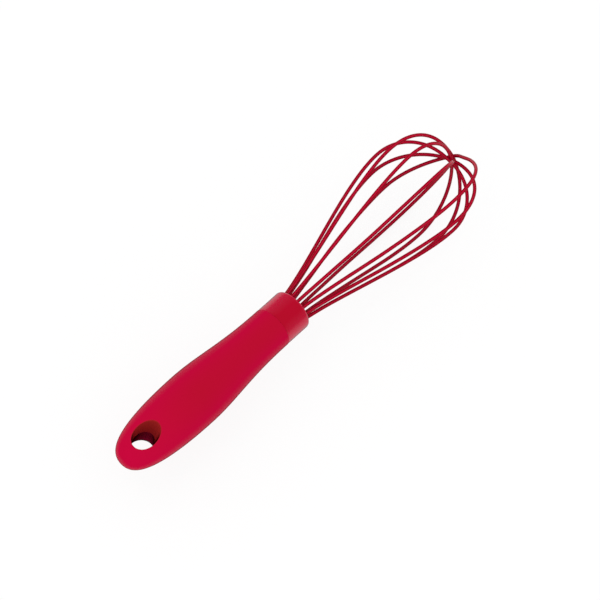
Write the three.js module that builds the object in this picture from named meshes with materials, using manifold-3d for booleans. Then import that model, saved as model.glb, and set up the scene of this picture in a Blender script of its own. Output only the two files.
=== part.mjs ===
// Balloon whisk: a soft-skinned handle with a hanging hole, a collar that holds the wires, and six
// silicone-sleeved wire loops that nest into a balloon. Millimetres; +X runs along the whisk to the tip of
// the balloon, +Z runs up through the hanging hole, and the origin is the centre of the collar's front face.
import * as THREE from "three";
import { mergeVertices } from "three/addons/utils/BufferGeometryUtils.js";
import Module from "manifold-3d";

const wasm = await Module();
wasm.setup();

const TURN = 2 * Math.PI;
const GAP = 0.3; // between pieces that sit inside one another
const HOLE_CLEARANCE = 0.2; // between a wire or sleeve and the small hole that it passes through

// Collar and what it holds
const COLLAR_RADIUS = 11.25;
const COLLAR_LENGTH = 15.7;
const COLLAR_BORE_RADIUS = 9.3;
const COLLAR_ROUNDING = 1.6; // of the front outer edge
const LIP_RADIUS = 8.7; // the opening in the collar's front face
const LIP_DEPTH = 0.8;
const PLUG_THICKNESS = 3.2;
const PLUG_BOSS_RADIUS = 3.6; // the round flat at the middle of the plug, level with the collar's face
const SOCKET_RADIUS = 7.6; // in the core's nose, filled with resin
const SOCKET_DEPTH = 21;

// Handle. Its half width is one smooth curve from the seam out to the belly, and another from the belly
// round the butt. Each curve leaves its ends along the whisk, or square to it at the butt, by its handles.
const SEAM_X = -16;
const SEAM_RADIUS = 11.35;
const WAIST_HANDLES = [28.8, 18.3];
const BELLY = { x: -74.7, radius: 15.15 };
const BUTT_HANDLES = [49.8, 5.4];
const HANDLE_END = -125.1;
const FLATTENING = 0.09; // how much thinner than wide the handle is from its middle to the butt
const SKIN_THICKNESS = 2.2;
const CORE_SHOULDER_X = -18; // the core narrows here to its nose, under the end of the skin

// Hanging hole, an oval through the butt that narrows from both mouths to a waist above mid-depth. The skin
// lines it. Its length and width are those of the upper mouth, and the waist and the lower mouth are shares
// of them.
const HOLE_X = -110.25;
const HOLE_LENGTH = 16.4;
const HOLE_WIDTH = 12.4;
const HOLE_MOUTH_Z = 10.5;
const HOLE_WAIST = { z: 2, share: 0.785 };
const LOWER_MOUTH_SHARE = 0.975;
const LINING_THICKNESS = 1.5;

// Wire loops
const WIRE_DIAMETER = 1;
const SLEEVE_BORE_DIAMETER = 1.2;
const SLEEVE_DIAMETER = 1.65;
const RING_RADIUS = 7.65; // where the wires pass the collar's front face
const EXIT_SLOPE = 0.15; // outward rise of a wire per unit along the whisk as it leaves the collar
const BELLY_X = 94; // where the balloon is widest
const SIDE_HANDLE = 0.27; // length of the side curve's handles, as a share of BELLY_X
const LONGEST_REACH = 127.2; // outermost loop, from the collar's front face
const NESTING = 1.78; // each loop inside the last is shorter by this much
const WIRES_TURN = -2.5; // degrees by which the wires are set round from the plane of the hanging hole
const TWIST_END_X = 55; // the wires turn from their holes to their final azimuth by here
const BALLOON_LEAN = [1.5, 1.2]; // sideways and upward drift of the balloon's axis at the tip
const SLEEVE_START_X = -3.6;
const WIRE_START_X = -24;

// Six loops, from the outermost in. Each has two legs: the number of its hole, counted in twelfths of a turn
// from +Z towards +Y, its azimuth at the belly in degrees, and its distance from the axis there. The apex of
// a loop is off the axis by apex, sideways and up. shoulder is how square a leg's dome is: its height, as a
// share of the belly radius, and its reach.
const ROUND_SHOULDER = [0.62, 0.55];
const LOOPS = [
  {
    apex: [1.8, -2.1],
    legs: [
      { hole: 11, azimuth: 321, belly: 30.5, shoulder: [0.84, 0.61] },
      { hole: 5, azimuth: 136, belly: 25, shoulder: [0.02, 0.63] },
    ],
  },
  {
    apex: [2.1, -1.5],
    legs: [
      { hole: 2, azimuth: 56, belly: 29 },
      { hole: 8, azimuth: 230, belly: 28 },
    ],
  },
  {
    apex: [-1.9, 0.2],
    legs: [
      { hole: 4, azimuth: 119, belly: 30.5 },
      { hole: 10, azimuth: 295, belly: 28.5 },
    ],
  },
  {
    apex: [0.4, 1.3],
    legs: [
      { hole: 1, azimuth: 28, belly: 27.5 },
      { hole: 7, azimuth: 202, belly: 30.5 },
    ],
  },
  {
    apex: [0.7, 3],
    legs: [
      { hole: 3, azimuth: 85, belly: 29 },
      { hole: 9, azimuth: 272, belly: 26.5 },
    ],
  },
  {
    apex: [-0.5, 0],
    legs: [
      { hole: 0, azimuth: -9, belly: 26 },
      { hole: 6, azimuth: 174, belly: 32 },
    ],
  },
];
const HOLES = 12;

// Facets
const ROUND_SIDES = 36;
const BUTT_STEPS = 11;
const WAIST_STEPS = 9;
const HOLE_SIDES = 28;
const SMALL_HOLE_SIDES = 8;
const SLEEVE_SIDES = 8;
const WIRE_SIDES = 5;
const LOOP_STEPS = 36; // even, so that one ring lies at the apex
const SIDE_SHARE = 0.4; // of a leg's steps lie below the belly, the rest in the dome
const WIRE_TAIL_STEPS = 2;

const red = (roughness) => new THREE.MeshStandardMaterial({ color: 0xc2103a, roughness, metalness: 0 });
const skinMaterial = red(0.55);
const collarMaterial = red(0.4);
const siliconeMaterial = red(0.35);
const coreMaterial = new THREE.MeshStandardMaterial({ color: 0x6e1020, roughness: 0.6, metalness: 0 });
const plugMaterial = red(0.5);
const resinMaterial = new THREE.MeshStandardMaterial({ color: 0xb9a878, roughness: 0.3, metalness: 0 });
const steelMaterial = new THREE.MeshStandardMaterial({ color: 0xb8bbc0, roughness: 0.3, metalness: 1 });

function mesh(name, geometry, material) {
  const made = new THREE.Mesh(geometry, material);
  made.name = name;
  return made;
}

// The value at t of a cubic Bezier curve, one coordinate at a time.
function cubic(t, p0, p1, p2, p3) {
  const s = 1 - t;
  return s ** 3 * p0 + 3 * s ** 2 * t * p1 + 3 * s * t ** 2 * p2 + t ** 3 * p3;
}

// Booleans

function solid(geometry) {
  const bare = geometry.clone();
  bare.deleteAttribute("normal");
  bare.deleteAttribute("uv");
  const merged = mergeVertices(bare, 1e-4);
  return new wasm.Manifold(
    new wasm.Mesh({
      numProp: 3,
      vertProperties: new Float32Array(merged.attributes.position.array),
      triVerts: new Uint32Array(merged.index.array),
    }),
  );
}

function geometryOf(body) {
  const made = body.getMesh();
  const geometry = new THREE.BufferGeometry();
  geometry.setAttribute("position", new THREE.BufferAttribute(new Float32Array(made.vertProperties), 3));
  geometry.setIndex(new THREE.BufferAttribute(new Uint32Array(made.triVerts), 1));
  geometry.computeVertexNormals();
  return geometry;
}

function cut(geometry, tools) {
  return geometryOf(tools.reduce((body, tool) => body.subtract(solid(tool)), solid(geometry)));
}

// Revolves [x, radius] points about the X axis. The points run from the butt side to the tip side.
function turned(points, sides = ROUND_SIDES) {
  const profile = points.map(([x, radius]) => new THREE.Vector2(radius, x));
  return new THREE.LatheGeometry(profile, sides).rotateZ(-Math.PI / 2);
}

// Handle

// The outline from the end of the butt to the seam, as [x, half width].
function handleOutline() {
  const [waistHandle, bellyHandle] = WAIST_HANDLES;
  const [flankHandle, endHandle] = BUTT_HANDLES;
  const outline = [];
  for (let i = 0; i < BUTT_STEPS; i += 1) {
    const t = i / BUTT_STEPS;
    outline.push([
      cubic(t, HANDLE_END, HANDLE_END, BELLY.x - flankHandle, BELLY.x),
      cubic(t, 0, endHandle, BELLY.radius, BELLY.radius),
    ]);
  }
  for (let i = 0; i <= WAIST_STEPS; i += 1) {
    const t = i / WAIST_STEPS;
    outline.push([
      cubic(t, BELLY.x, BELLY.x + bellyHandle, SEAM_X - waistHandle, SEAM_X),
      cubic(t, BELLY.radius, BELLY.radius, SEAM_RADIUS, SEAM_RADIUS),
    ]);
  }
  return outline;
}

// The same outline moved inwards by depth, square to the flank.
function inset(outline, depth) {
  return outline.map(([x, radius], i) => {
    const [x0, r0] = outline[Math.max(i - 1, 0)];
    const [x1, r1] = outline[Math.min(i + 1, outline.length - 1)];
    if (radius === 0) return [x + depth, 0];
    const length = Math.hypot(x1 - x0, r1 - r0);
    return [x + (depth * (r1 - r0)) / length, radius - (depth * (x1 - x0)) / length];
  });
}

// Thins a handle piece from round at the seam to slightly flat from the middle of the handle on.
function flatten(geometry) {
  const position = geometry.attributes.position;
  const middleX = (SEAM_X + HANDLE_END) / 2;
  for (let i = 0; i < position.count; i += 1) {
    const share = THREE.MathUtils.smoothstep(-position.getX(i), -SEAM_X, -middleX);
    position.setZ(i, position.getZ(i) * (1 - FLATTENING * share));
  }
  return geometry;
}

// An oval through the butt, margin wider all round than the hanging hole's mouths.
function ovalPrism(margin) {
  const oval = new THREE.Shape();
  oval.absellipse(HOLE_X, 0, HOLE_LENGTH / 2 + margin, HOLE_WIDTH / 2 + margin, 0, TURN);
  const depth = 4 * HOLE_MOUTH_Z;
  const prism = new THREE.ExtrudeGeometry(oval, { depth, bevelEnabled: false, curveSegments: HOLE_SIDES });
  return prism.translate(0, 0, -depth / 2);
}

// The cutter runs past both mouths with the same draft, so that it leaves the handle's curved surface.
function hangingHole() {
  const { z: waistZ, share: waist } = HOLE_WAIST;
  const beyond = 2;
  const upperZ = waistZ + beyond * (HOLE_MOUTH_Z - waistZ);
  const lowerZ = waistZ - beyond * (HOLE_MOUTH_Z + waistZ);
  const upper = waist + beyond * (1 - waist);
  const lower = waist + beyond * (LOWER_MOUTH_SHARE - waist);
  const profile = [
    [0, lowerZ],
    [lower, lowerZ],
    [waist, waistZ],
    [upper, upperZ],
    [0, upperZ],
  ].map(([radius, z]) => new THREE.Vector2(radius, z));
  const hourglass = new THREE.LatheGeometry(profile, HOLE_SIDES).rotateX(Math.PI / 2);
  return hourglass.scale(HOLE_LENGTH / 2, HOLE_WIDTH / 2, 1).translate(HOLE_X, 0, 0);
}

// The skin is a shell, open at the seam, and a tube of skin joins its two sides round the hanging hole.
function gripSkin() {
  const outer = handleOutline();
  const inner = inset(outer, SKIN_THICKNESS);
  const shell = solid(flatten(turned([...outer, ...inner.reverse()])));
  const filled = solid(flatten(turned([...outer, [SEAM_X, 0]])));
  const lining = filled.intersect(solid(ovalPrism(LINING_THICKNESS)));
  return geometryOf(shell.add(lining).subtract(solid(hangingHole())));
}

function handleCore() {
  const noseRadius = COLLAR_BORE_RADIUS - GAP;
  const noseX = -LIP_DEPTH - PLUG_THICKNESS - 2 * GAP;
  const body = inset(handleOutline(), SKIN_THICKNESS + GAP).filter(([x]) => x < CORE_SHOULDER_X);
  const outside = flatten(turned([...body, [CORE_SHOULDER_X, noseRadius], [noseX, noseRadius], [noseX, 0]]));
  const socket = disc(noseX - SOCKET_DEPTH, noseX + 1, SOCKET_RADIUS);
  return cut(outside, [socket, ovalPrism(LINING_THICKNESS + GAP)]);
}

// Collar, plug and resin

function collar() {
  const rounding = [];
  const ROUNDING_STEPS = 4;
  for (let i = 0; i <= ROUNDING_STEPS; i += 1) {
    const angle = (i / ROUNDING_STEPS) * (Math.PI / 2);
    const x = -COLLAR_ROUNDING * (1 - Math.sin(angle));
    rounding.push([x, COLLAR_RADIUS - COLLAR_ROUNDING * (1 - Math.cos(angle))]);
  }
  const outside = [[-COLLAR_LENGTH, COLLAR_BORE_RADIUS], [-COLLAR_LENGTH, COLLAR_RADIUS], ...rounding];
  const inside = [
    [0, LIP_RADIUS],
    [-LIP_DEPTH, LIP_RADIUS],
    [-LIP_DEPTH, COLLAR_BORE_RADIUS],
    [-COLLAR_LENGTH, COLLAR_BORE_RADIUS],
  ];
  return turned([...outside, ...inside]);
}

// A short straight cylinder along each wire's line through the collar, used to cut its hole.
function wireHoles(fromX, toX, radius) {
  const holes = [];
  for (let i = 0; i < HOLES; i += 1) {
    const start = tailPoint(fromX, i);
    const end = tailPoint(toX, i);
    const hole = new THREE.CylinderGeometry(radius, radius, start.distanceTo(end), SMALL_HOLE_SIDES);
    const direction = end.clone().sub(start).normalize();
    hole.applyQuaternion(new THREE.Quaternion().setFromUnitVectors(new THREE.Vector3(0, 1, 0), direction));
    const middle = start.clone().add(end).multiplyScalar(0.5);
    holes.push(hole.translate(middle.x, middle.y, middle.z));
  }
  return holes;
}

// A point on the straight line that a wire follows through the collar.
function tailPoint(x, hole) {
  const azimuth = THREE.MathUtils.degToRad(holeAzimuth(hole));
  const radius = RING_RADIUS + EXIT_SLOPE * x;
  return new THREE.Vector3(x, radius * Math.sin(azimuth), radius * Math.cos(azimuth));
}

function holeAzimuth(hole) {
  return (hole / HOLES) * 360 + WIRES_TURN;
}

function disc(backX, frontX, radius) {
  return turned([
    [backX, 0],
    [backX, radius],
    [frontX, radius],
    [frontX, 0],
  ]);
}

function plug() {
  const frontX = -LIP_DEPTH - GAP;
  const backX = frontX - PLUG_THICKNESS;
  const holes = wireHoles(backX - 1, frontX + 1, SLEEVE_DIAMETER / 2 + HOLE_CLEARANCE);
  const outline = [
    [backX, 0],
    [backX, COLLAR_BORE_RADIUS - GAP],
    [frontX, COLLAR_BORE_RADIUS - GAP],
    [frontX, PLUG_BOSS_RADIUS],
    [0, PLUG_BOSS_RADIUS],
    [0, 0],
  ];
  return cut(turned(outline), holes);
}

function resin() {
  const frontX = -LIP_DEPTH - PLUG_THICKNESS - 3 * GAP;
  const backX = frontX - SOCKET_DEPTH + 2 * GAP;
  const holes = wireHoles(WIRE_START_X - 1, frontX + 1, WIRE_DIAMETER / 2 + HOLE_CLEARANCE);
  return cut(disc(backX, frontX, SOCKET_RADIUS - GAP), holes);
}

// Wire loops

// A loop's centre line from hole to hole over the tip, with a straight tail back into the handle at each
// end. It is sampled by step, not by length, so that the rings crowd into the dome where it bends most, and
// so that the sleeve's rings and the wire's rings lie on each other.
class LoopLine extends THREE.Curve {
  constructor(index, tailX, tailSteps) {
    super();
    this.reach = LONGEST_REACH - NESTING * index;
    this.apex = LOOPS[index].apex;
    this.legs = LOOPS[index].legs;
    this.tailX = tailX;
    this.tailSteps = tailSteps;
    this.steps = LOOP_STEPS + 2 * tailSteps;
  }

  getPoint(t, target = new THREE.Vector3()) {
    const [near, far] = this.legs;
    const step = t * this.steps - this.tailSteps;
    if (step < 0) return target.copy(tailPoint((-step / this.tailSteps) * this.tailX, near.hole));
    if (step > LOOP_STEPS) {
      const back = (step - LOOP_STEPS) / this.tailSteps;
      return target.copy(tailPoint(back * this.tailX, far.hole));
    }
    const share = (2 * step) / LOOP_STEPS;
    return share < 1 ? this.legPoint(near, share, target) : this.legPoint(far, 2 - share, target);
  }

  getPointAt(u, target) {
    return this.getPoint(u, target);
  }

  getTangentAt(u, target) {
    return this.getTangent(u, target);
  }

  // A leg's point at share s of the way from the collar's face to the apex.
  legPoint(leg, s, target) {
    const [x, radius] = this.profile(leg, s);
    const untwisted = Math.max(1 - x / TWIST_END_X, 0) ** 2;
    const atBelly = leg.azimuth + WIRES_TURN;
    const turn = (holeAzimuth(leg.hole) - atBelly) * untwisted;
    const azimuth = THREE.MathUtils.degToRad(atBelly + turn);
    const along = x / this.reach;
    const dome = Math.max((x - BELLY_X) / (this.reach - BELLY_X), 0) ** 2;
    return target.set(
      x,
      radius * Math.sin(azimuth) + BALLOON_LEAN[0] * along + this.apex[0] * dome,
      radius * Math.cos(azimuth) + BALLOON_LEAN[1] * along + this.apex[1] * dome,
    );
  }

  // The side and the dome of a leg as two cubic curves of x and radius that meet at the belly.
  profile(leg, s) {
    if (s < SIDE_SHARE) {
      const t = s / SIDE_SHARE;
      const handle = SIDE_HANDLE * BELLY_X;
      return [
        cubic(t, 0, handle, BELLY_X - handle, BELLY_X),
        cubic(t, RING_RADIUS, RING_RADIUS + EXIT_SLOPE * handle, leg.belly, leg.belly),
      ];
    }
    const t = (s - SIDE_SHARE) / (1 - SIDE_SHARE);
    const [height, forward] = leg.shoulder ?? ROUND_SHOULDER;
    const shoulderX = BELLY_X + forward * (this.reach - BELLY_X);
    return [
      cubic(t, BELLY_X, shoulderX, this.reach, this.reach),
      cubic(t, leg.belly, leg.belly, height * leg.belly, 0),
    ];
  }
}

function polygon(sides, radius) {
  const corners = [];
  for (let i = 0; i < sides; i += 1) {
    const angle = (i / sides) * TURN;
    corners.push(new THREE.Vector2(radius * Math.cos(angle), radius * Math.sin(angle)));
  }
  return corners;
}

function sweep(section, line) {
  return new THREE.ExtrudeGeometry(section, { extrudePath: line, steps: line.steps });
}

function wire(index) {
  const section = new THREE.Shape(polygon(WIRE_SIDES, WIRE_DIAMETER / 2));
  return sweep(section, new LoopLine(index, WIRE_START_X, WIRE_TAIL_STEPS));
}

function sleeve(index) {
  const section = new THREE.Shape(polygon(SLEEVE_SIDES, SLEEVE_DIAMETER / 2));
  section.holes.push(new THREE.Path(polygon(WIRE_SIDES, SLEEVE_BORE_DIAMETER / 2)));
  return sweep(section, new LoopLine(index, SLEEVE_START_X, 1));
}

// Assembly

const whisk = new THREE.Group();
whisk.name = "balloon_whisk";
whisk.add(
  mesh("grip_skin", gripSkin(), skinMaterial),
  mesh("handle_core", handleCore(), coreMaterial),
  mesh("collar", collar(), collarMaterial),
  mesh("wire_plug", plug(), plugMaterial),
  mesh("resin_potting", resin(), resinMaterial),
);
LOOPS.forEach((_, index) => {
  whisk.add(mesh(`wire_${index + 1}`, wire(index), steelMaterial));
  whisk.add(mesh(`wire_sleeve_${index + 1}`, sleeve(index), siliconeMaterial));
});

export default whisk;
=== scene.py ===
import math

import bmesh
import bpy
import numpy as np
from mathutils import Matrix, Vector


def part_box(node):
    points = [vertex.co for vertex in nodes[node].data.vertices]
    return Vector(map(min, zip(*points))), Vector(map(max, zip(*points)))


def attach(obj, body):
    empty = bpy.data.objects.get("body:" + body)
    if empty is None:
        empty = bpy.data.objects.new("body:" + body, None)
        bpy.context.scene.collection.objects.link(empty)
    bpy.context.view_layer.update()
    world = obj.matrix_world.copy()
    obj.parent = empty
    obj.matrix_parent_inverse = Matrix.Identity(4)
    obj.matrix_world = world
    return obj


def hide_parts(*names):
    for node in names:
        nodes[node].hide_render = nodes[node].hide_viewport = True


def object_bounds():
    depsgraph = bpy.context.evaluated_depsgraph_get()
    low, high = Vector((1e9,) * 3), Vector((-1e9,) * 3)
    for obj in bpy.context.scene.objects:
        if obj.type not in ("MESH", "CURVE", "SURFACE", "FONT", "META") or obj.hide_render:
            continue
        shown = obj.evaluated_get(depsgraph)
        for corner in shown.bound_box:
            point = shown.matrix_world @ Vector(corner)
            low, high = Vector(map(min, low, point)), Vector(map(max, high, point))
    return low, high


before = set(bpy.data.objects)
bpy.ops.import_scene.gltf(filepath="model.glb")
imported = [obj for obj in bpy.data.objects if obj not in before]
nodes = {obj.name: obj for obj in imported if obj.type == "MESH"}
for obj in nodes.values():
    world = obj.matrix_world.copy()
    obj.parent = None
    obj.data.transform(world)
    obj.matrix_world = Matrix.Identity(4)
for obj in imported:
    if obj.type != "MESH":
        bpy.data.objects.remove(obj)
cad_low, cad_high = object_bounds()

MM = 0.001
TURN = 2 * math.pi

# Handle. Its two ends are read from its CAD node. Its half width is one smooth curve from the butt out to
# the belly and another from the belly in to the seam, and their handles give them their shape.
skin_low, skin_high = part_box("grip_skin")
HANDLE_END = skin_low.x
SEAM_X = skin_high.x
SEAM_CLOSING = 0.26 * MM  # the skin is drawn this much nearer the collar than its CAD node
BELLY_RADIUS = 15.15 * MM
BELLY_X = -74.7 * MM
SEAM_RADIUS = 11.35 * MM
FLANK_HANDLE = 49.8 * MM
BUTT_HANDLE = 5.4 * MM
BELLY_HANDLE = 18.3 * MM
WAIST_HANDLE = 28.8 * MM
FLATTENING = 0.09
SKIN_THICKNESS = 2.2 * MM
SEAM_ROUNDING = 0.12 * MM

# Hanging hole: an oval that narrows from both mouths to a waist above mid-depth. The waist and the lower
# mouth are shares of the upper mouth.
HOLE_X = -110.25 * MM
HOLE_HALF_LENGTH = 8.2 * MM
HOLE_HALF_WIDTH = 6.2 * MM
HOLE_MOUTH_Z = 10.5 * MM
WAIST_Z = 2.0 * MM
WAIST_SHARE = 0.785
LOWER_MOUTH_SHARE = 0.975
LIP_ROUNDING = 0.5 * MM
LINING_THICKNESS = 1.5 * MM
MOUTH_PASSES = 14  # rounds of moving a mouth's edge until it lies on the handle's surface
BLOCK_BACK = 1.7 * MM  # the skin's own rows stop this far behind the hole's upper mouth
BLOCK_FRONT = 2.6 * MM  # and this far in front of it. The hole's rings fill the space left.
TOP_CROWDING = 1.4  # how much the rings crowd towards the lip
WALL_SHARES = (0.93, 0.85, 0.7, 0.55, 0.4, 0.25, 0.12, 0.04, 0.008)  # heights of the wall's rings
SHARP_LIP = 0.01 * MM
WALL_FADE = 0.7 * LIP_ROUNDING  # the wall's painted light and shade fade out over this distance from it
RIM_SHADE = 2.4 * MM  # how far up from the lower mouth its dark rim reaches

# Collar and plug
COLLAR_RADIUS = 11.25 * MM
COLLAR_LENGTH = 15.7 * MM
COLLAR_BORE = 9.3 * MM
COLLAR_ROUNDING = 1.6 * MM
SIDE_START = 2 * MM  # from the collar's back to the first ring along its side
SIDE_END = 1 * MM  # from the last of those rings to where its front rounding starts
OPENING_RADIUS = 8.7 * MM
OPENING_DEPTH = 0.8 * MM
SMALL_ROUNDING = 0.2 * MM
BACK_ROUNDING = 0.1 * MM
PLUG_RADIUS = 9 * MM
PLUG_FRONT = -1.1 * MM
PLUG_BACK = -4.3 * MM
BOSS_RADIUS = 3.6 * MM
BOSS_FILLET = 0.5 * MM
HOLE_CLEARANCE = 0.2 * MM
CUTTER_LENGTH = 12 * MM

# Wires
WIRE_RADIUS = 0.5 * MM
BORE_RADIUS = 0.6 * MM
SLEEVE_RADIUS = 0.825 * MM
DRAWN_SLEEVE_RADIUS = 0.94 * MM  # a little more than the CAD node's, or thin strands look too thin
LOOPS = 6

# Colours, 0 to 255
SKIN_TOP = (178, 16, 42)
# Painted light: the skin's flanks, turned from the eye, are drawn lighter than SKIN_TOP, the part facing it
SKIN_SIDE_LIGHT = (186, 10, 56)
SKIN_BUTT = (194, 9, 59)
# Painted shade along the handle's outlines
SKIN_EDGE_SHADE = (128, 4, 30)
SKIN_CLOUD = (182, 12, 50)
SKIN_GRAIN = (150, 6, 34)
# Painted light and shade on the hanging hole's wall: lighter from the lip down to the waist, darker below it
WALL_LIP = (152, 34, 32)
WALL_UPPER_LIGHT = (166, 36, 38)
WALL_MIDDLE_SHADE = (132, 16, 44)
WALL_LOW_SHADE = (116, 8, 38)
# Painted shade: near black at the hole's lower rim and along the outlines inside it
WALL_EDGE_SHADE = (36, 0, 4)
COLLAR_TONE = (170, 14, 38)
COLLAR_CLOUD = (178, 12, 44)
# Painted light and reflection on the collar's flanks
COLLAR_SIDE_LIGHT = (188, 10, 54)
# Painted shade along the collar's outlines
COLLAR_EDGE_SHADE = (104, 4, 26)
# Painted light and shade on the strands: lighter along the near line, darker beside it, lighter again at the
# outlines
SLEEVE_NEAR_LIGHT = (194, 0, 46)
SLEEVE_FLANK_SHADE = (118, 0, 16)
SLEEVE_OUTLINE_LIGHT = (182, 0, 34)
SLEEVE_CLOUD = (140, 2, 26)
SLEEVE_SHADE = (232, 232, 232)  # multiplies the tone of the strands near the floor
SHADE_DEPTH = 12 * MM  # the shade comes in between this far above the whisk's axis and as far below it
PLUG_TONES = (150, 10, 34), (176, 14, 46)
CORE_TONES = (92, 12, 26), (122, 18, 36)
RESIN_TONES = (196, 176, 120), (164, 138, 82)
STEEL_TONES = (176, 178, 182), (206, 208, 210)
WHITE = (1, 1, 1, 1)

# Painted shade: the handle and collar darken to their edge tones between these two shares of being turned
# away
OUTLINE_SHADE = (0.68, 0.88)

# How strongly a surface mirrors its surroundings
SKIN_SHINE = 0.08
COLLAR_SHINE = 0.5
SLEEVE_SHINE = 0.2

# Mesh fineness
AROUND_HANDLE = 144
HANDLE_ROWS = 180
INNER_ROWS = 60  # on the inside of the skin
BLOCK_HALF_COLUMNS = 24
AROUND_COLLAR = 144
COLLAR_SIDE_RINGS = 8
AROUND_SLEEVE = 20
AROUND_WIRE = 10
RINGS_PER_STEP = 8
MATCHING = 1e6  # steps to a metre when two vertices are matched as one point
END_REACH = 1.3  # a sweep's end ring is all the points within this many diameters of one of them
TOP_RINGS = 12
LIP_RINGS = 5
AROUND_PLUG = 96
AROUND_CUTTER = 32

# Camera and stage
TILT = math.radians(25.15)
ROLL = math.radians(12.5)
PICTURE_TURN = math.radians(41.88)
CAMERA_DISTANCE = 2.268
CAMERA_LENS = 270.46
AIM_RIGHT = 3.22 * MM
AIM_UP = 4.34 * MM
FLOOR_SIZE = 6
FLOOR_GAP = 0.4 * MM
FLOOR_TONES = (0.93, 0.93, 0.93), (0.95, 0.95, 0.95)
FLOOR_EVENNESS = 0.85
FLOOR_IN_REFLECTIONS = 0.75
SURROUND = 1.08
SURROUND_IN_REFLECTIONS = 0.06
KEY_SIZE = 0.5
KEY_POWER = 1.2
KEY_DISTANCE = 1.6
KEY_UP = 0.35  # slopes of the lamp's direction up and to the left of the camera's
KEY_LEFT = 0.25


# Meshes

class Shell:
    """Points and faces gathered ring by ring."""

    def __init__(self):
        self.points = []
        self.faces = []

    def add(self, points):
        first = len(self.points)
        self.points.extend(np.asarray(points, float).reshape(-1, 3))
        return list(range(first, len(self.points)))

    def band(self, a, b):
        for k in range(len(a)):
            n = (k + 1) % len(a)
            self.faces.append((a[k], a[n], b[n], b[k]))

    def bands(self, rings):
        for a, b in zip(rings, rings[1:]):
            self.band(a, b)

    def fan(self, centre, ring):
        for k in range(len(ring)):
            self.faces.append((centre, ring[k], ring[(k + 1) % len(ring)]))

    def build(self, name):
        mesh = bpy.data.meshes.new(name)
        mesh.from_pydata([tuple(p) for p in self.points], [], self.faces)
        outward(mesh)
        return placed(name, mesh)


def outward(mesh):
    """Turns every face outward and shades the mesh smooth."""
    work = bmesh.new()
    work.from_mesh(mesh)
    bmesh.ops.recalc_face_normals(work, faces=work.faces)
    work.to_mesh(mesh)
    work.free()
    mesh.shade_smooth()


def placed(name, data):
    """A new object in the scene that has this mesh, camera or lamp as its data."""
    made = bpy.data.objects.new(name, data)
    bpy.context.scene.collection.objects.link(made)
    return made


def circle(x, radius, sides, thickness=1.0):
    angle = np.arange(sides) * TURN / sides
    return np.column_stack([
        np.full(sides, x),
        radius * np.sin(angle),
        radius * np.cos(angle) * thickness,
    ])


def corner(centre, radius, start, end, steps=5):
    """Points of an arc in the plane of x and radius, from one angle to another in degrees."""
    angles = np.radians(np.linspace(start, end, steps + 1))
    return [(centre[0] + radius * math.cos(a), centre[1] + radius * math.sin(a)) for a in angles]


def lathe(name, profile, sides):
    """Turns a closed profile of (x, radius) points about the X axis. A profile may end on the axis."""
    shell = Shell()
    rings = []
    for x, radius in profile:
        rings.append(shell.add(circle(x, radius, sides) if radius > 0 else [(x, 0, 0)]))
    for a, b in zip(rings, rings[1:] + rings[:1]):
        if len(a) == 1 and len(b) == 1:
            continue
        if len(a) == 1:
            shell.fan(a[0], b)
        elif len(b) == 1:
            shell.fan(b[0], a)
        else:
            shell.band(a, b)
    return shell.build(name)


# Handle skin

def cubic(t, p0, p1, p2, p3):
    s = 1 - t
    return s**3 * p0 + 3 * s**2 * t * p1 + 3 * s * t**2 * p2 + t**3 * p3


def outline(depth, samples=1500):
    """The handle's outline from butt to seam, moved in by depth: arrays of x and half width."""
    t = np.linspace(0, 1, samples)
    butt_x = cubic(t, HANDLE_END, HANDLE_END, BELLY_X - FLANK_HANDLE, BELLY_X)
    butt_r = cubic(t, 0, BUTT_HANDLE, BELLY_RADIUS, BELLY_RADIUS)
    waist_x = cubic(t, BELLY_X, BELLY_X + BELLY_HANDLE, SEAM_X - WAIST_HANDLE, SEAM_X)
    waist_r = cubic(t, BELLY_RADIUS, BELLY_RADIUS, SEAM_RADIUS, SEAM_RADIUS)
    x = np.append(butt_x, waist_x[1:])
    r = np.append(butt_r, waist_r[1:])
    dx, dr = np.gradient(x), np.gradient(r)
    length = np.hypot(dx, dr)
    return x + depth * dr / length, np.maximum(r - depth * dx / length, 0)


def evenly(x, r, count):
    """The same curve at equal steps of its length."""
    travelled = np.append(0, np.cumsum(np.hypot(np.diff(x), np.diff(r))))
    wanted = np.linspace(0, travelled[-1], count)
    return np.interp(wanted, travelled, x), np.interp(wanted, travelled, r)


def thickness(x):
    """How thick the handle is at x, as a share of its width."""
    middle = (SEAM_X + HANDLE_END) / 2
    s = np.clip((SEAM_X - x) / (SEAM_X - middle), 0, 1)
    return 1 - FLATTENING * s * s * (3 - 2 * s)


def height(x, y, curve):
    radius = np.interp(x, *curve)
    return thickness(x) * np.sqrt(np.maximum(radius**2 - y**2, 0))


def hole_size(z, drafted):
    """Size of the hole at height z, as a share of the upper mouth. The lining's far side has no draft."""
    if not drafted:
        return np.ones_like(z)
    above = WAIST_SHARE + (1 - WAIST_SHARE) * (z - WAIST_Z) / (HOLE_MOUTH_Z - WAIST_Z)
    below = WAIST_SHARE + (LOWER_MOUTH_SHARE - WAIST_SHARE) * (WAIST_Z - z) / (HOLE_MOUTH_Z + WAIST_Z)
    return np.where(z > WAIST_Z, above, below)


def oval(angle, z, margin, drafted):
    """Points of the hole's wall at height z."""
    size = hole_size(z, drafted)
    x = HOLE_X + (HOLE_HALF_LENGTH * size + margin) * np.cos(angle)
    y = (HOLE_HALF_WIDTH * size + margin) * np.sin(angle)
    return x, y


def on_surface(xy, side, curve):
    """Points of the handle's upper surface (side 1) or lower one (side -1) at the given x and y."""
    return np.column_stack([xy, side * height(xy[:, 0], xy[:, 1], curve)])


def mouth_edge(angle, side, curve, margin, drafted):
    """Where the hole's wall meets the surface, were it not rounded."""
    z = np.full(len(angle), side * HOLE_MOUTH_Z)
    for _ in range(MOUTH_PASSES):
        x, y = oval(angle, z, margin, drafted)
        z = side * height(x, y, curve)
    return np.column_stack([x, y, z])


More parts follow.
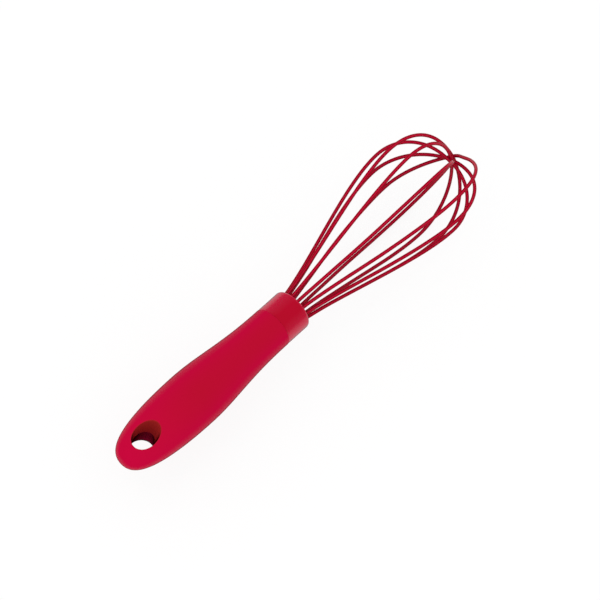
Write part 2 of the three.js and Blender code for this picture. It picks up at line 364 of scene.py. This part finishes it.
def mouth_rings(border, side, curve, margin, drafted, lip):
    """Rings from a border in to a mouth of the hole, over its lip and on to the waist, for side 1 or -1."""
    angle = np.arctan2(border[:, 1] / HOLE_HALF_WIDTH, (border[:, 0] - HOLE_X) / HOLE_HALF_LENGTH)
    out = np.column_stack([np.cos(angle) / HOLE_HALF_LENGTH, np.sin(angle) / HOLE_HALF_WIDTH])
    out /= np.linalg.norm(out, axis=1)[:, None]
    edge = mouth_edge(angle, side, curve, margin, drafted)
    outer = on_surface(edge[:, :2] + lip * out, side, curve)
    inner_z = edge[:, 2] - side * lip
    inner = np.column_stack([*oval(angle, inner_z, margin, drafted), inner_z])
    rings = []
    for t in np.linspace(0, 1, TOP_RINGS + 1)[1:]:
        share = 1 - (1 - t) ** TOP_CROWDING
        rings.append(on_surface(border[:, :2] * (1 - share) + outer[:, :2] * share, side, curve))
    for t in np.linspace(0, 1, LIP_RINGS + 1)[1:]:
        rings.append((1 - t) ** 2 * outer + 2 * t * (1 - t) * edge + t * t * inner)
    for share in WALL_SHARES:
        z = WAIST_Z + (inner_z - WAIST_Z) * share
        rings.append(np.column_stack([*oval(angle, z, margin, drafted), z]))
    return rings


def block_rows(x, margin):
    """The first and last rows of the block that is left out of the skin's grid round the hanging hole."""
    reach = HOLE_HALF_LENGTH + margin
    inside = np.nonzero((x > HOLE_X - reach - BLOCK_BACK) & (x < HOLE_X + reach + BLOCK_FRONT))[0]
    return inside[0], inside[-1]


def add_grid_faces(shell, grid, low, high):
    """The faces between the grid's rings, without the blocks above and below the hanging hole."""
    for i in range(len(grid) - 1):
        for j in range(AROUND_HANDLE):
            column = (j + BLOCK_HALF_COLUMNS) % (AROUND_HANDLE // 2)
            if low <= i < high and column < 2 * BLOCK_HALF_COLUMNS:
                continue
            n = (j + 1) % AROUND_HANDLE
            shell.faces.append((grid[i][j], grid[i][n], grid[i + 1][n], grid[i + 1][j]))


def block_borders(grid, low, high):
    """The points round the block left out above the hole, and those round the one below it."""
    half = BLOCK_HALF_COLUMNS
    loop = [(low, j) for j in range(-half, half)] + [(i, half) for i in range(low, high)]
    loop += [(high, j) for j in range(half, -half, -1)] + [(i, -half) for i in range(high, low, -1)]
    top = [grid[i][j % AROUND_HANDLE] for i, j in loop]
    bottom = [grid[i][(AROUND_HANDLE // 2 - j) % AROUND_HANDLE] for i, j in loop]
    return top, bottom


def skin_layer(shell, depth, rows, margin, drafted, lip):
    """One layer of the skin, holed right through by the hanging hole. Returns its ring at the seam."""
    curve = outline(depth)
    x, r = evenly(*curve, rows)
    rounding = SEAM_ROUNDING if depth == 0 else 0
    x[-1] += SEAM_CLOSING - rounding
    grid = [shell.add(circle(a, b, AROUND_HANDLE, thickness(a))) for a, b in zip(x[1:], r[1:])]
    shell.fan(shell.add([(x[0], 0, 0)])[0], grid[0])
    low, high = block_rows(x[1:], margin)
    add_grid_faces(shell, grid, low, high)
    halves = []
    for border, side in zip(block_borders(grid, low, high), (1, -1)):
        points = np.array([shell.points[p] for p in border])
        rings = mouth_rings(points, side, curve, margin, drafted, lip)
        halves.append([border] + [shell.add(ring) for ring in rings])
    shell.bands(halves[0] + halves[1][::-1])
    return grid[-1]


def handle_skin():
    shell = Shell()
    outer = skin_layer(shell, 0, HANDLE_ROWS, 0, True, LIP_ROUNDING)
    inner = skin_layer(shell, SKIN_THICKNESS, INNER_ROWS, LINING_THICKNESS, False, SHARP_LIP)
    centre = (SEAM_X + SEAM_CLOSING - SEAM_ROUNDING, SEAM_RADIUS - SEAM_ROUNDING)
    rim = [shell.add(circle(x, r, AROUND_HANDLE)) for x, r in corner(centre, SEAM_ROUNDING, 90, 0)[1:]]
    shell.bands([outer] + rim + [inner])
    piece = shell.build("handle_skin")
    mark_wall(piece)
    return piece


def mark_wall(piece):
    """Stores how far each point belongs to the hanging hole's wall and to its lower rim, from 0 to 1. The
    wall mask carries the wall's painted light and shade, and the rim mask its painted shade.
    """
    x, y, z = np.array([v.co for v in piece.data.vertices], float).T
    out = np.hypot((x - HOLE_X) / HOLE_HALF_LENGTH, y / HOLE_HALF_WIDTH) - hole_size(z, True)
    wall = np.clip(1 - out * HOLE_HALF_WIDTH / WALL_FADE, 0, 1)
    rim = wall * np.clip(1 - (z + height(x, y, outline(0))) / RIM_SHADE, 0, 1)
    for name, values in (("wall", wall), ("rim", rim)):
        attribute = piece.data.attributes.new(name, "FLOAT", "POINT")
        attribute.data.foreach_set("value", values.astype(np.float32))


# Collar and plug

def collar():
    back, front = -COLLAR_LENGTH, 0
    r, small = COLLAR_ROUNDING, SMALL_ROUNDING
    profile = [(back, COLLAR_BORE)]
    profile += corner((back + BACK_ROUNDING, COLLAR_RADIUS - BACK_ROUNDING), BACK_ROUNDING, 180, 90)
    side = np.linspace(back + SIDE_START, front - r - SIDE_END, COLLAR_SIDE_RINGS)
    profile += [(x, COLLAR_RADIUS) for x in side]
    profile += corner((front - r, COLLAR_RADIUS - r), r, 90, 0, steps=12)
    profile += corner((front - small, OPENING_RADIUS + small), small, 0, -90)[1:]
    profile += [(front - OPENING_DEPTH, OPENING_RADIUS), (front - OPENING_DEPTH, COLLAR_BORE)]
    return lathe("collar_ring", profile, AROUND_COLLAR)


def strand_cutter(start, direction):
    """A closed cylinder whose middle is at start, as wide as the hole that a strand passes through."""
    radius = SLEEVE_RADIUS + HOLE_CLEARANCE
    side = direction.orthogonal().normalized()
    other = direction.cross(side)
    shell = Shell()
    rings = []
    for shift in (-CUTTER_LENGTH / 2, CUTTER_LENGTH / 2):
        middle = start + direction * shift
        points = []
        for k in range(AROUND_CUTTER):
            a = TURN * k / AROUND_CUTTER
            points.append(middle + side * (radius * math.cos(a)) + other * (radius * math.sin(a)))
        rings.append(shell.add(points))
    shell.bands(rings)
    shell.faces += [tuple(rings[0]), tuple(rings[1])]
    return shell.build("cutter")


def applied(piece, name):
    """A copy of the piece with its modifiers made real. The piece itself is removed."""
    graph = bpy.context.evaluated_depsgraph_get()
    mesh = bpy.data.meshes.new_from_object(piece.evaluated_get(graph))
    bpy.data.objects.remove(piece)
    return placed(name, mesh)


def drilled(piece, cutters, name):
    """A copy of the piece with the cutters taken out of it. The piece and the cutters are removed."""
    for cutter in cutters:
        modifier = piece.modifiers.new("hole", "BOOLEAN")
        modifier.operation = "DIFFERENCE"
        modifier.solver = "EXACT"
        modifier.object = cutter
    made = applied(piece, name)
    for cutter in cutters:
        bpy.data.objects.remove(cutter)
    return made


def plug(lines):
    """The disc behind the collar's lip, with a hole for each end of each sleeve."""
    small = SMALL_ROUNDING
    profile = [(PLUG_BACK, 0)]
    profile += corner((PLUG_BACK + small, PLUG_RADIUS - small), small, 180, 90, steps=2)
    profile += corner((PLUG_FRONT - small, PLUG_RADIUS - small), small, 90, 0, steps=2)
    profile += corner((PLUG_FRONT + BOSS_FILLET, BOSS_RADIUS + BOSS_FILLET), BOSS_FILLET, 180, 270, steps=4)
    profile += corner((-small, BOSS_RADIUS - small), small, 90, 0, steps=2)
    profile += [(0, 0)]
    disc = lathe("plug_disc", profile, AROUND_PLUG)
    cutters = []
    for line in lines:
        for start, inward in ((line[0], line[1] - line[0]), (line[-1], line[-2] - line[-1])):
            cutters.append(strand_cutter(Vector(start), Vector(inward).normalized()))
    made = drilled(disc, cutters, "wire_plug_disc")
    made.data.shade_flat()
    return made


# Wire loops

def centre_line(node, ring_size):
    """The middle of each ring of a swept CAD node, in order from one end to the other."""
    mesh = node.data
    index, points, merged = {}, [], []
    for vertex in mesh.vertices:
        key = tuple(round(c * MATCHING) for c in vertex.co)
        if key not in index:
            index[key] = len(points)
            points.append(np.array(vertex.co))
        merged.append(index[key])
    neighbours = [set() for _ in points]
    for edge in mesh.edges:
        a, b = (merged[v] for v in edge.vertices)
        neighbours[a].add(b)
        neighbours[b].add(a)
    seed = min(range(len(points)), key=lambda k: points[k][0])
    ring = {k for k, p in enumerate(points) if np.linalg.norm(p - points[seed]) < END_REACH * ring_size}
    seen, middles = set(), []
    while ring:
        middles.append(np.mean([points[k] for k in ring], axis=0))
        seen |= ring
        ring = set().union(*(neighbours[k] for k in ring)) - seen
    return np.array(middles)


def smooth_line(points, per_step):
    """A natural cubic spline through the points, with per_step pieces between each two."""
    chord = np.append(0, np.cumsum(np.linalg.norm(np.diff(points, axis=0), axis=1)))
    h = np.diff(chord)
    n = len(points)
    system = np.zeros((n, n))
    right = np.zeros((n, 3))
    system[0, 0] = system[-1, -1] = 1
    for i in range(1, n - 1):
        system[i, i - 1:i + 2] = h[i - 1], 2 * (h[i - 1] + h[i]), h[i]
        right[i] = 6 * ((points[i + 1] - points[i]) / h[i] - (points[i] - points[i - 1]) / h[i - 1])
    bend = np.linalg.solve(system, right)
    made = []
    for i in range(n - 1):
        for k in range(per_step):
            a = h[i] * k / per_step
            b = h[i] - a
            made.append((bend[i] * b**3 + bend[i + 1] * a**3) / (6 * h[i])
                        + (points[i] / h[i] - bend[i] * h[i] / 6) * b
                        + (points[i + 1] / h[i] - bend[i + 1] * h[i] / 6) * a)
    return np.array(made + [points[-1]])


def frames(line):
    """Unit vectors along and across a line, turned as little as possible from point to point."""
    along = np.gradient(line, axis=0)
    along /= np.linalg.norm(along, axis=1)[:, None]
    side = np.cross(along[0], (0, 0, 1))
    across = []
    for direction in along:
        side = side - direction * np.dot(side, direction)
        side /= np.linalg.norm(side)
        across.append(side)
    across = np.array(across)
    return across, np.cross(along, across)


def tube(name, line, radius, bore, sides):
    """A round tube along a line, or a rod if bore is 0.

    Its lay attribute runs round and along it, and its axis attribute points along it.
    """
    side, up = frames(line)
    along = np.cross(side, up)
    angle = np.arange(sides) * TURN / sides
    travelled = np.append(0, np.cumsum(np.linalg.norm(np.diff(line, axis=0), axis=1)))
    shell, lay, axis = Shell(), [], []

    def surface(r):
        rings = []
        for k, middle in enumerate(line):
            ring = middle + r * (np.outer(np.cos(angle), side[k]) + np.outer(np.sin(angle), up[k]))
            rings.append(shell.add(ring))
            lay.extend((math.cos(a), math.sin(a), travelled[k]) for a in angle)
            axis.extend([along[k]] * sides)
        shell.bands(rings)
        return rings[0], rings[-1]

    first, last = surface(radius)
    if bore:
        inner_first, inner_last = surface(bore)
        shell.band(first, inner_first)
        shell.band(last, inner_last)
    else:
        shell.faces += [tuple(first), tuple(last)]
    piece = shell.build(name)
    for label, values in (("lay", lay), ("axis", axis)):
        attribute = piece.data.attributes.new(label, "FLOAT_VECTOR", "POINT")
        attribute.data.foreach_set("vector", np.array(values, np.float32).ravel())
    return piece


# Materials

# Sockets of a node that mixes colours
MIX_FACTOR, MIX_A, MIX_B = 0, 6, 7
MIX_RESULT = 2


class Paint:
    """A procedural material while its nodes are wired up."""

    def __init__(self, name):
        self.material = bpy.data.materials.new(name)
        self.material.use_nodes = True
        self.nodes = self.material.node_tree.nodes
        self.links = self.material.node_tree.links
        self.nodes.clear()

    def add(self, kind, inputs=None, **settings):
        node = self.nodes.new("ShaderNode" + kind)
        for name, value in settings.items():
            setattr(node, name, value)
        for name, value in (inputs or {}).items():
            if isinstance(value, bpy.types.NodeSocket):
                self.links.new(value, node.inputs[name])
            else:
                node.inputs[name].default_value = value
        return node

    def place(self, stretch=(1, 1, 1)):
        """A point's place on the object, with each axis stretched."""
        coordinates = self.add("TexCoord").outputs["Object"]
        return self.add("Mapping", {"Vector": coordinates, "Scale": stretch}).outputs[0]

    def lay(self, stretch=(1, 1, 1)):
        attribute = self.add("Attribute", attribute_name="lay").outputs["Vector"]
        return self.add("Mapping", {"Vector": attribute, "Scale": stretch}).outputs[0]

    def dot(self, a, b):
        return self.add("VectorMath", {0: a, 1: b}, operation="DOT_PRODUCT").outputs["Value"]

    def facing(self):
        """0 where the surface faces the eye and 1 where it is turned edge on."""
        return self.add("LayerWeight", {"Blend": 0.5}).outputs["Facing"]

    def turned_away(self):
        """How far a tube's wall is turned away from the eye: 0 on its near line, 1 on its outlines."""
        geometry = self.add("NewGeometry").outputs
        axis = self.add("Attribute", attribute_name="axis").outputs["Vector"]
        slope = self.dot(axis, geometry["Incoming"])
        crosswise = self.math("SQRT", self.math("SUBTRACT", 1.0, self.times(slope, slope)), 0.0)
        near = self.math("DIVIDE", self.dot(geometry["Normal"], geometry["Incoming"]), crosswise)
        return self.math("SUBTRACT", 1.0, near)

    def noise(self, vector, scale, detail=3.0, roughness=0.5):
        inputs = {"Vector": vector, "Scale": scale, "Detail": detail, "Roughness": roughness}
        return self.add("TexNoise", inputs).outputs[0]

    def ramp(self, value, stops):
        node = self.add("ValToRGB", {"Fac": value})
        elements = node.color_ramp.elements
        while len(elements) < len(stops):
            elements.new(0.5)
        for element, (position, colour) in zip(elements, stops):
            element.position = position
            element.color = (*colour, 1)
        return node.outputs[0]

    def spread(self, value, low, high):
        """The middle of a noise's range drawn out from low to high."""
        inputs = {"Value": value, "From Min": 0.3, "From Max": 0.7, "To Min": low, "To Max": high}
        return self.add("MapRange", inputs).outputs[0]

    def between(self, value, low, high):
        """0 at low and 1 at high, and straight between them. low may be the greater."""
        inputs = {"Value": value, "From Min": low, "From Max": high}
        return self.add("MapRange", inputs).outputs[0]

    def split(self, vector):
        return self.add("SeparateXYZ", {"Vector": vector}).outputs

    def sum(self, a, b):
        return self.math("ADD", a, b)

    def times(self, a, b):
        return self.math("MULTIPLY", a, b)

    def math(self, operation, a, b):
        return self.add("Math", {0: a, 1: b}, operation=operation).outputs[0]

    def mix(self, factor, a, b, blend="MIX"):
        node = self.add("Mix", data_type="RGBA", blend_type=blend)
        for socket, value in ((MIX_FACTOR, factor), (MIX_A, a), (MIX_B, b)):
            if isinstance(value, bpy.types.NodeSocket):
                self.links.new(value, node.inputs[socket])
            elif socket == MIX_FACTOR:
                node.inputs[socket].default_value = value
            else:
                node.inputs[socket].default_value = (*value, 1)
        return node.outputs[MIX_RESULT]

    def bump(self, relief, strength, distance, normal=None):
        inputs = {"Height": relief, "Strength": strength, "Distance": distance}
        if normal is not None:
            inputs["Normal"] = normal
        return self.add("Bump", inputs).outputs[0]

    def blend(self, factor, a, b):
        return self.add("MixShader", {0: factor, 1: a, 2: b}).outputs[0]

    def output(self, shader):
        self.add("OutputMaterial", {"Surface": shader})

    def finish(self, **inputs):
        named = {key.replace("_", " "): value for key, value in inputs.items()}
        self.output(self.add("BsdfPrincipled", named).outputs[0])
        return self.material


def srgb(red, green, blue):
    """A colour given as 0 to 255 per channel, made linear."""
    made = []
    for value in (red, green, blue):
        v = value / 255
        made.append(v / 12.92 if v <= 0.04045 else ((v + 0.055) / 1.055) ** 2.4)
    return tuple(made)


def hole_wall_light_and_shade(paint, z):
    """The hanging hole's wall in painted light and shade: lighter above its waist, darker below it with
    painted shade, near black at the lower rim with painted shade.
    """
    reach = 12 * MM
    waist = (WAIST_Z + reach) / (2 * reach)
    line = 0.004
    wall = paint.ramp(paint.between(z, -reach, reach), [
        (0.0, srgb(*WALL_LOW_SHADE)), (waist - line, srgb(*WALL_MIDDLE_SHADE)),
        (waist + line, srgb(*WALL_UPPER_LIGHT)), (0.95, srgb(*WALL_LIP)),
    ])
    # Painted shade: the lower rim darkens to near black
    rim = paint.add("Attribute", attribute_name="rim").outputs["Fac"]
    return paint.mix(paint.between(rim, 0.1, 0.7), wall, srgb(*WALL_EDGE_SHADE))


def silicone_skin():
    """Soft moulded silicone, satin with fine orange peel, with painted light on its flanks and painted shade
    at its outlines. The wall of the hanging hole is darker: painted light above its waist and painted shade
    below it.
    """
    paint = Paint("red_silicone_skin")
    place = paint.place()
    x, _, z = paint.split(place)
    facing = paint.facing()
    # Painted light: lighter flanks where the skin turns from the eye
    tone = paint.mix(paint.between(facing, 0.0, 0.35), srgb(*SKIN_TOP), srgb(*SKIN_SIDE_LIGHT))
    tone = paint.mix(paint.between(x, -75 * MM, -122 * MM), tone, srgb(*SKIN_BUTT))
    cloud = paint.noise(place, scale=45, detail=4)
    tone = paint.mix(paint.spread(cloud, 0.0, 0.25), tone, srgb(*SKIN_CLOUD))
    grain = paint.noise(place, scale=2600, detail=2)
    tone = paint.mix(paint.spread(grain, 0.0, 0.10), tone, srgb(*SKIN_GRAIN), blend="MULTIPLY")
    inside = paint.add("Attribute", attribute_name="wall").outputs["Fac"]
    tone = paint.mix(inside, tone, hole_wall_light_and_shade(paint, z))
    # Painted shade along the outlines, in the hole's wall too
    edge = paint.between(facing, *OUTLINE_SHADE)
    tone = paint.mix(edge, tone, paint.mix(inside, srgb(*SKIN_EDGE_SHADE), srgb(*WALL_EDGE_SHADE)))
    rough = paint.spread(paint.noise(place, scale=160, detail=5, roughness=0.6), 0.42, 0.54)
    flank = paint.between(facing, 0.38, 0.68)
    outside = paint.between(paint.sum(inside, edge), 1.0, 0.0)
    shine = paint.times(paint.times(flank, outside), SKIN_SHINE)
    fine = paint.bump(grain, strength=0.10, distance=0.05 * MM)
    dimples = paint.noise(place, scale=420, detail=3)
    peel = paint.bump(dimples, strength=0.12, distance=0.1 * MM, normal=fine)
    return paint.finish(Base_Color=tone, Roughness=rough, Normal=peel, Specular_IOR_Level=shine)


def collar_plastic():
    """Glossier moulded plastic with faint turning marks and hairline scratches, with painted light on its
    flanks and painted shade at its outlines.
    """
    paint = Paint("red_collar_plastic")
    facing = paint.facing()
    cloud = paint.noise(paint.place(), scale=60, detail=3)
    tone = paint.mix(paint.spread(cloud, 0.0, 0.6), srgb(*COLLAR_TONE), srgb(*COLLAR_CLOUD))
    edge = paint.between(facing, *OUTLINE_SHADE)
    # Painted light: lighter flanks where the collar turns from the eye
    tone = paint.mix(paint.between(facing, 0.1, 0.4), tone, srgb(*COLLAR_SIDE_LIGHT))
    # Painted shade along the collar's outlines
    tone = paint.mix(edge, tone, srgb(*COLLAR_EDGE_SHADE))
    scratches = paint.noise(paint.place(stretch=(5200, 900, 900)), scale=1, detail=4, roughness=0.7)
    rough = paint.spread(scratches, 0.2, 0.28)
    marks = paint.bump(scratches, strength=0.05, distance=0.01 * MM)
    flank = paint.between(facing, 0.12, 0.48)
    shine = paint.times(paint.times(flank, paint.between(edge, 1.0, 0.0)), COLLAR_SHINE)
    return paint.finish(Base_Color=tone, Roughness=rough, Normal=marks, Specular_IOR_Level=shine)


def sleeve_silicone():
    """Extruded silicone with painted light and shade: a painted highlight along its near line, painted shade
    beside it, lighter paint at its outlines and painted shade on strands near the floor, with faint draw
    lines.
    """
    paint = Paint("red_silicone_sleeve")
    away = paint.turned_away()
    # Painted highlight along the near line, painted shade beside it, and lighter paint at the outlines
    tone = paint.ramp(away, [
        (0.03, srgb(*SLEEVE_NEAR_LIGHT)), (0.12, srgb(*SLEEVE_FLANK_SHADE)),
        (0.25, srgb(*SLEEVE_FLANK_SHADE)), (0.5, srgb(*SLEEVE_OUTLINE_LIGHT)),
    ])
    low = paint.between(paint.split(paint.place())[2], SHADE_DEPTH, -SHADE_DEPTH)
    tone = paint.mix(low, tone, srgb(*SLEEVE_SHADE), blend="MULTIPLY")
    slow = paint.noise(paint.lay(stretch=(0.4, 0.4, 60)), scale=1, detail=3)
    tone = paint.mix(paint.spread(slow, 0.0, 0.3), tone, srgb(*SLEEVE_CLOUD))
    lines = paint.noise(paint.lay(stretch=(7, 7, 40)), scale=1, detail=3)
    rough = paint.spread(lines, 0.2, 0.34)
    drawn = paint.bump(lines, strength=0.15, distance=0.03 * MM)
    shine = paint.times(paint.between(away, 0.6, 0.3), SLEEVE_SHINE)
    return paint.finish(Base_Color=tone, Roughness=rough, Normal=drawn, Specular_IOR_Level=shine,
                        Specular_Tint=(1, 0.5, 0.6, 1))


def plug_plastic():
    """Matte moulded plastic with a fine spark-eroded texture."""
    paint = Paint("red_plug_plastic")
    place = paint.place()
    texture = paint.noise(place, scale=1800, detail=4, roughness=0.6)
    cloud = paint.spread(paint.noise(place, scale=150, detail=3), 0, 1)
    tone = paint.mix(cloud, *(srgb(*colour) for colour in PLUG_TONES))
    rough = paint.spread(texture, 0.45, 0.65)
    relief = paint.bump(texture, strength=0.3, distance=0.05 * MM)
    return paint.finish(Base_Color=tone, Roughness=rough, Normal=relief)


def core_plastic():
    """Dark moulded plastic with long flow marks."""
    paint = Paint("dark_core_plastic")
    place = paint.place()
    flow = paint.noise(paint.place(stretch=(20, 300, 300)), scale=1, detail=4)
    tone = paint.mix(paint.spread(flow, 0, 1), *(srgb(*colour) for colour in CORE_TONES))
    texture = paint.noise(place, scale=1500, detail=3)
    rough = paint.spread(texture, 0.5, 0.7)
    relief = paint.bump(texture, strength=0.3, distance=0.05 * MM)
    return paint.finish(Base_Color=tone, Roughness=rough, Normal=relief)


def cast_resin():
    """Cloudy amber resin with a rippled surface."""
    paint = Paint("amber_resin")
    place = paint.place()
    cloud = paint.noise(place, scale=240, detail=4, roughness=0.65)
    tone = paint.mix(paint.spread(cloud, 0, 1), *(srgb(*colour) for colour in RESIN_TONES))
    ripple = paint.noise(place, scale=700, detail=2)
    relief = paint.bump(ripple, strength=0.25, distance=0.08 * MM)
    rough = paint.spread(cloud, 0.18, 0.34)
    return paint.finish(Base_Color=tone, Roughness=rough, Normal=relief, Specular_IOR_Level=0.6)


def spring_steel():
    """Bright steel with fine streaks from drawing."""
    paint = Paint("drawn_spring_steel")
    streaks = paint.noise(paint.lay(stretch=(9, 9, 30)), scale=1, detail=4, roughness=0.6)
    tone = paint.mix(paint.spread(streaks, 0, 1), *(srgb(*colour) for colour in STEEL_TONES))
    rough = paint.spread(streaks, 0.18, 0.36)
    relief = paint.bump(streaks, strength=0.2, distance=0.02 * MM)
    return paint.finish(Base_Color=tone, Roughness=rough, Metallic=1.0, Normal=relief)


def dressed(piece, material):
    """Gives a piece its material."""
    piece.data.materials.clear()
    piece.data.materials.append(material)


def shown(piece, node, material):
    """Shows a drawn piece in place of its CAD node."""
    dressed(piece, material)
    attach(piece, "root")
    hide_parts(node)


# Stage

def camera():
    """Places the camera by the whisk's tilt, roll and slope across the picture. Returns its axes."""
    across = Vector((0, -math.sin(ROLL), math.cos(ROLL)))
    back = -math.sin(TILT) * Vector((1, 0, 0)) + math.cos(TILT) * across
    axis = math.cos(TILT) * Vector((1, 0, 0)) + math.sin(TILT) * across
    side = Vector((0, math.cos(ROLL), math.sin(ROLL)))
    right = math.cos(PICTURE_TURN) * axis - math.sin(PICTURE_TURN) * side
    up = math.sin(PICTURE_TURN) * axis + math.cos(PICTURE_TURN) * side
    data = bpy.data.cameras.new("camera")
    data.lens = CAMERA_LENS
    data.sensor_width = 36
    data.clip_end = 20
    made = placed("camera", data)
    made.matrix_world = Matrix((right, up, back)).transposed().to_4x4()
    made.location = AIM_RIGHT * right + AIM_UP * up + CAMERA_DISTANCE * back
    bpy.context.scene.camera = made
    return back, right, up


def floor_paint():
    """Pale, with faint shadows. It glows in reflections, and can't be seen from below."""
    paint = Paint("pale_floor")
    cloud = paint.spread(paint.noise(paint.place(), scale=3, detail=2), 0, 1)
    tone = paint.mix(cloud, *FLOOR_TONES)
    path = paint.add("LightPath").outputs
    matt = paint.add("BsdfDiffuse", {"Color": tone}).outputs[0]
    even = paint.add("Emission", {"Color": WHITE, "Strength": 1.0}).outputs[0]
    matt = paint.blend(paint.times(path["Is Camera Ray"], FLOOR_EVENNESS), matt, even)
    glow = paint.add("Emission", {"Color": WHITE, "Strength": FLOOR_IN_REFLECTIONS}).outputs[0]
    clear = paint.add("BsdfTransparent").outputs[0]
    seen = paint.blend(path["Is Glossy Ray"], matt, glow)
    behind = paint.add("NewGeometry").outputs["Backfacing"]
    paint.output(paint.blend(behind, seen, clear))
    paint.material.cycles.emission_sampling = "NONE"  # lit points meet the floor only along a ray's own path
    return paint.material


def floor():
    """A plain square just under the balloon."""
    shell = Shell()
    half = FLOOR_SIZE / 2
    z = cad_low.z - FLOOR_GAP
    square = shell.add([(-half, -half, z), (half, -half, z), (half, half, z), (-half, half, z)])
    shell.faces.append(tuple(square))
    made = shell.build("floor")
    made.data.materials.append(floor_paint())


def key_lamp(direction):
    """A round soft lamp that shines on the whisk from the given direction."""
    data = bpy.data.lights.new("key", "AREA")
    data.shape = "DISK"
    data.size = KEY_SIZE
    data.energy = KEY_POWER
    made = placed("key", data)
    made.location = direction.normalized() * KEY_DISTANCE
    made.rotation_mode = "QUATERNION"
    made.rotation_quaternion = direction.to_track_quat("Z", "Y")


def white_glow(node, strength):
    """The light of a background node, once it is set to white of this strength."""
    node.inputs["Color"].default_value = WHITE
    node.inputs["Strength"].default_value = strength
    return node.outputs[0]


def studio(back, right, up):
    """White light from all round, dim in the whisk's reflections, and one soft lamp near the camera."""
    world = bpy.data.worlds.new("studio")
    bpy.context.scene.world = world
    world.use_nodes = True
    world.cycles.sampling_method = "NONE"  # lit points meet the world only along a ray's own path
    tree = world.node_tree
    path = tree.nodes.new("ShaderNodeLightPath")
    mixed = tree.nodes.new("ShaderNodeMixShader")
    mirrored = tree.nodes.new("ShaderNodeBackground")
    tree.links.new(path.outputs["Is Glossy Ray"], mixed.inputs[0])
    tree.links.new(white_glow(tree.nodes["Background"], SURROUND), mixed.inputs[1])
    tree.links.new(white_glow(mirrored, SURROUND_IN_REFLECTIONS), mixed.inputs[2])
    tree.links.new(mixed.outputs[0], tree.nodes["World Output"].inputs[0])
    key_lamp(back + KEY_UP * up - KEY_LEFT * right)
    bpy.context.scene.view_settings.view_transform = "Standard"


# Assembly

shown(handle_skin(), "grip_skin", silicone_skin())
shown(collar(), "collar", collar_plastic())

silicone, steel = sleeve_silicone(), spring_steel()
sleeve_lines = []
for k in range(1, LOOPS + 1):
    sleeve_line = smooth_line(centre_line(nodes[f"wire_sleeve_{k}"], 2 * SLEEVE_RADIUS), RINGS_PER_STEP)
    wire_line = smooth_line(centre_line(nodes[f"wire_{k}"], 2 * WIRE_RADIUS), RINGS_PER_STEP)
    sleeve_lines.append(sleeve_line)
    sleeve = tube(f"silicone_sleeve_{k}", sleeve_line, DRAWN_SLEEVE_RADIUS, BORE_RADIUS, AROUND_SLEEVE)
    shown(sleeve, f"wire_sleeve_{k}", silicone)
    wire = tube(f"spring_wire_{k}", wire_line, WIRE_RADIUS, 0, AROUND_WIRE)
    shown(wire, f"wire_{k}", steel)
shown(plug(sleeve_lines), "wire_plug", plug_plastic())
dressed(nodes["handle_core"], core_plastic())
dressed(nodes["resin_potting"], cast_resin())

floor()
studio(*camera())
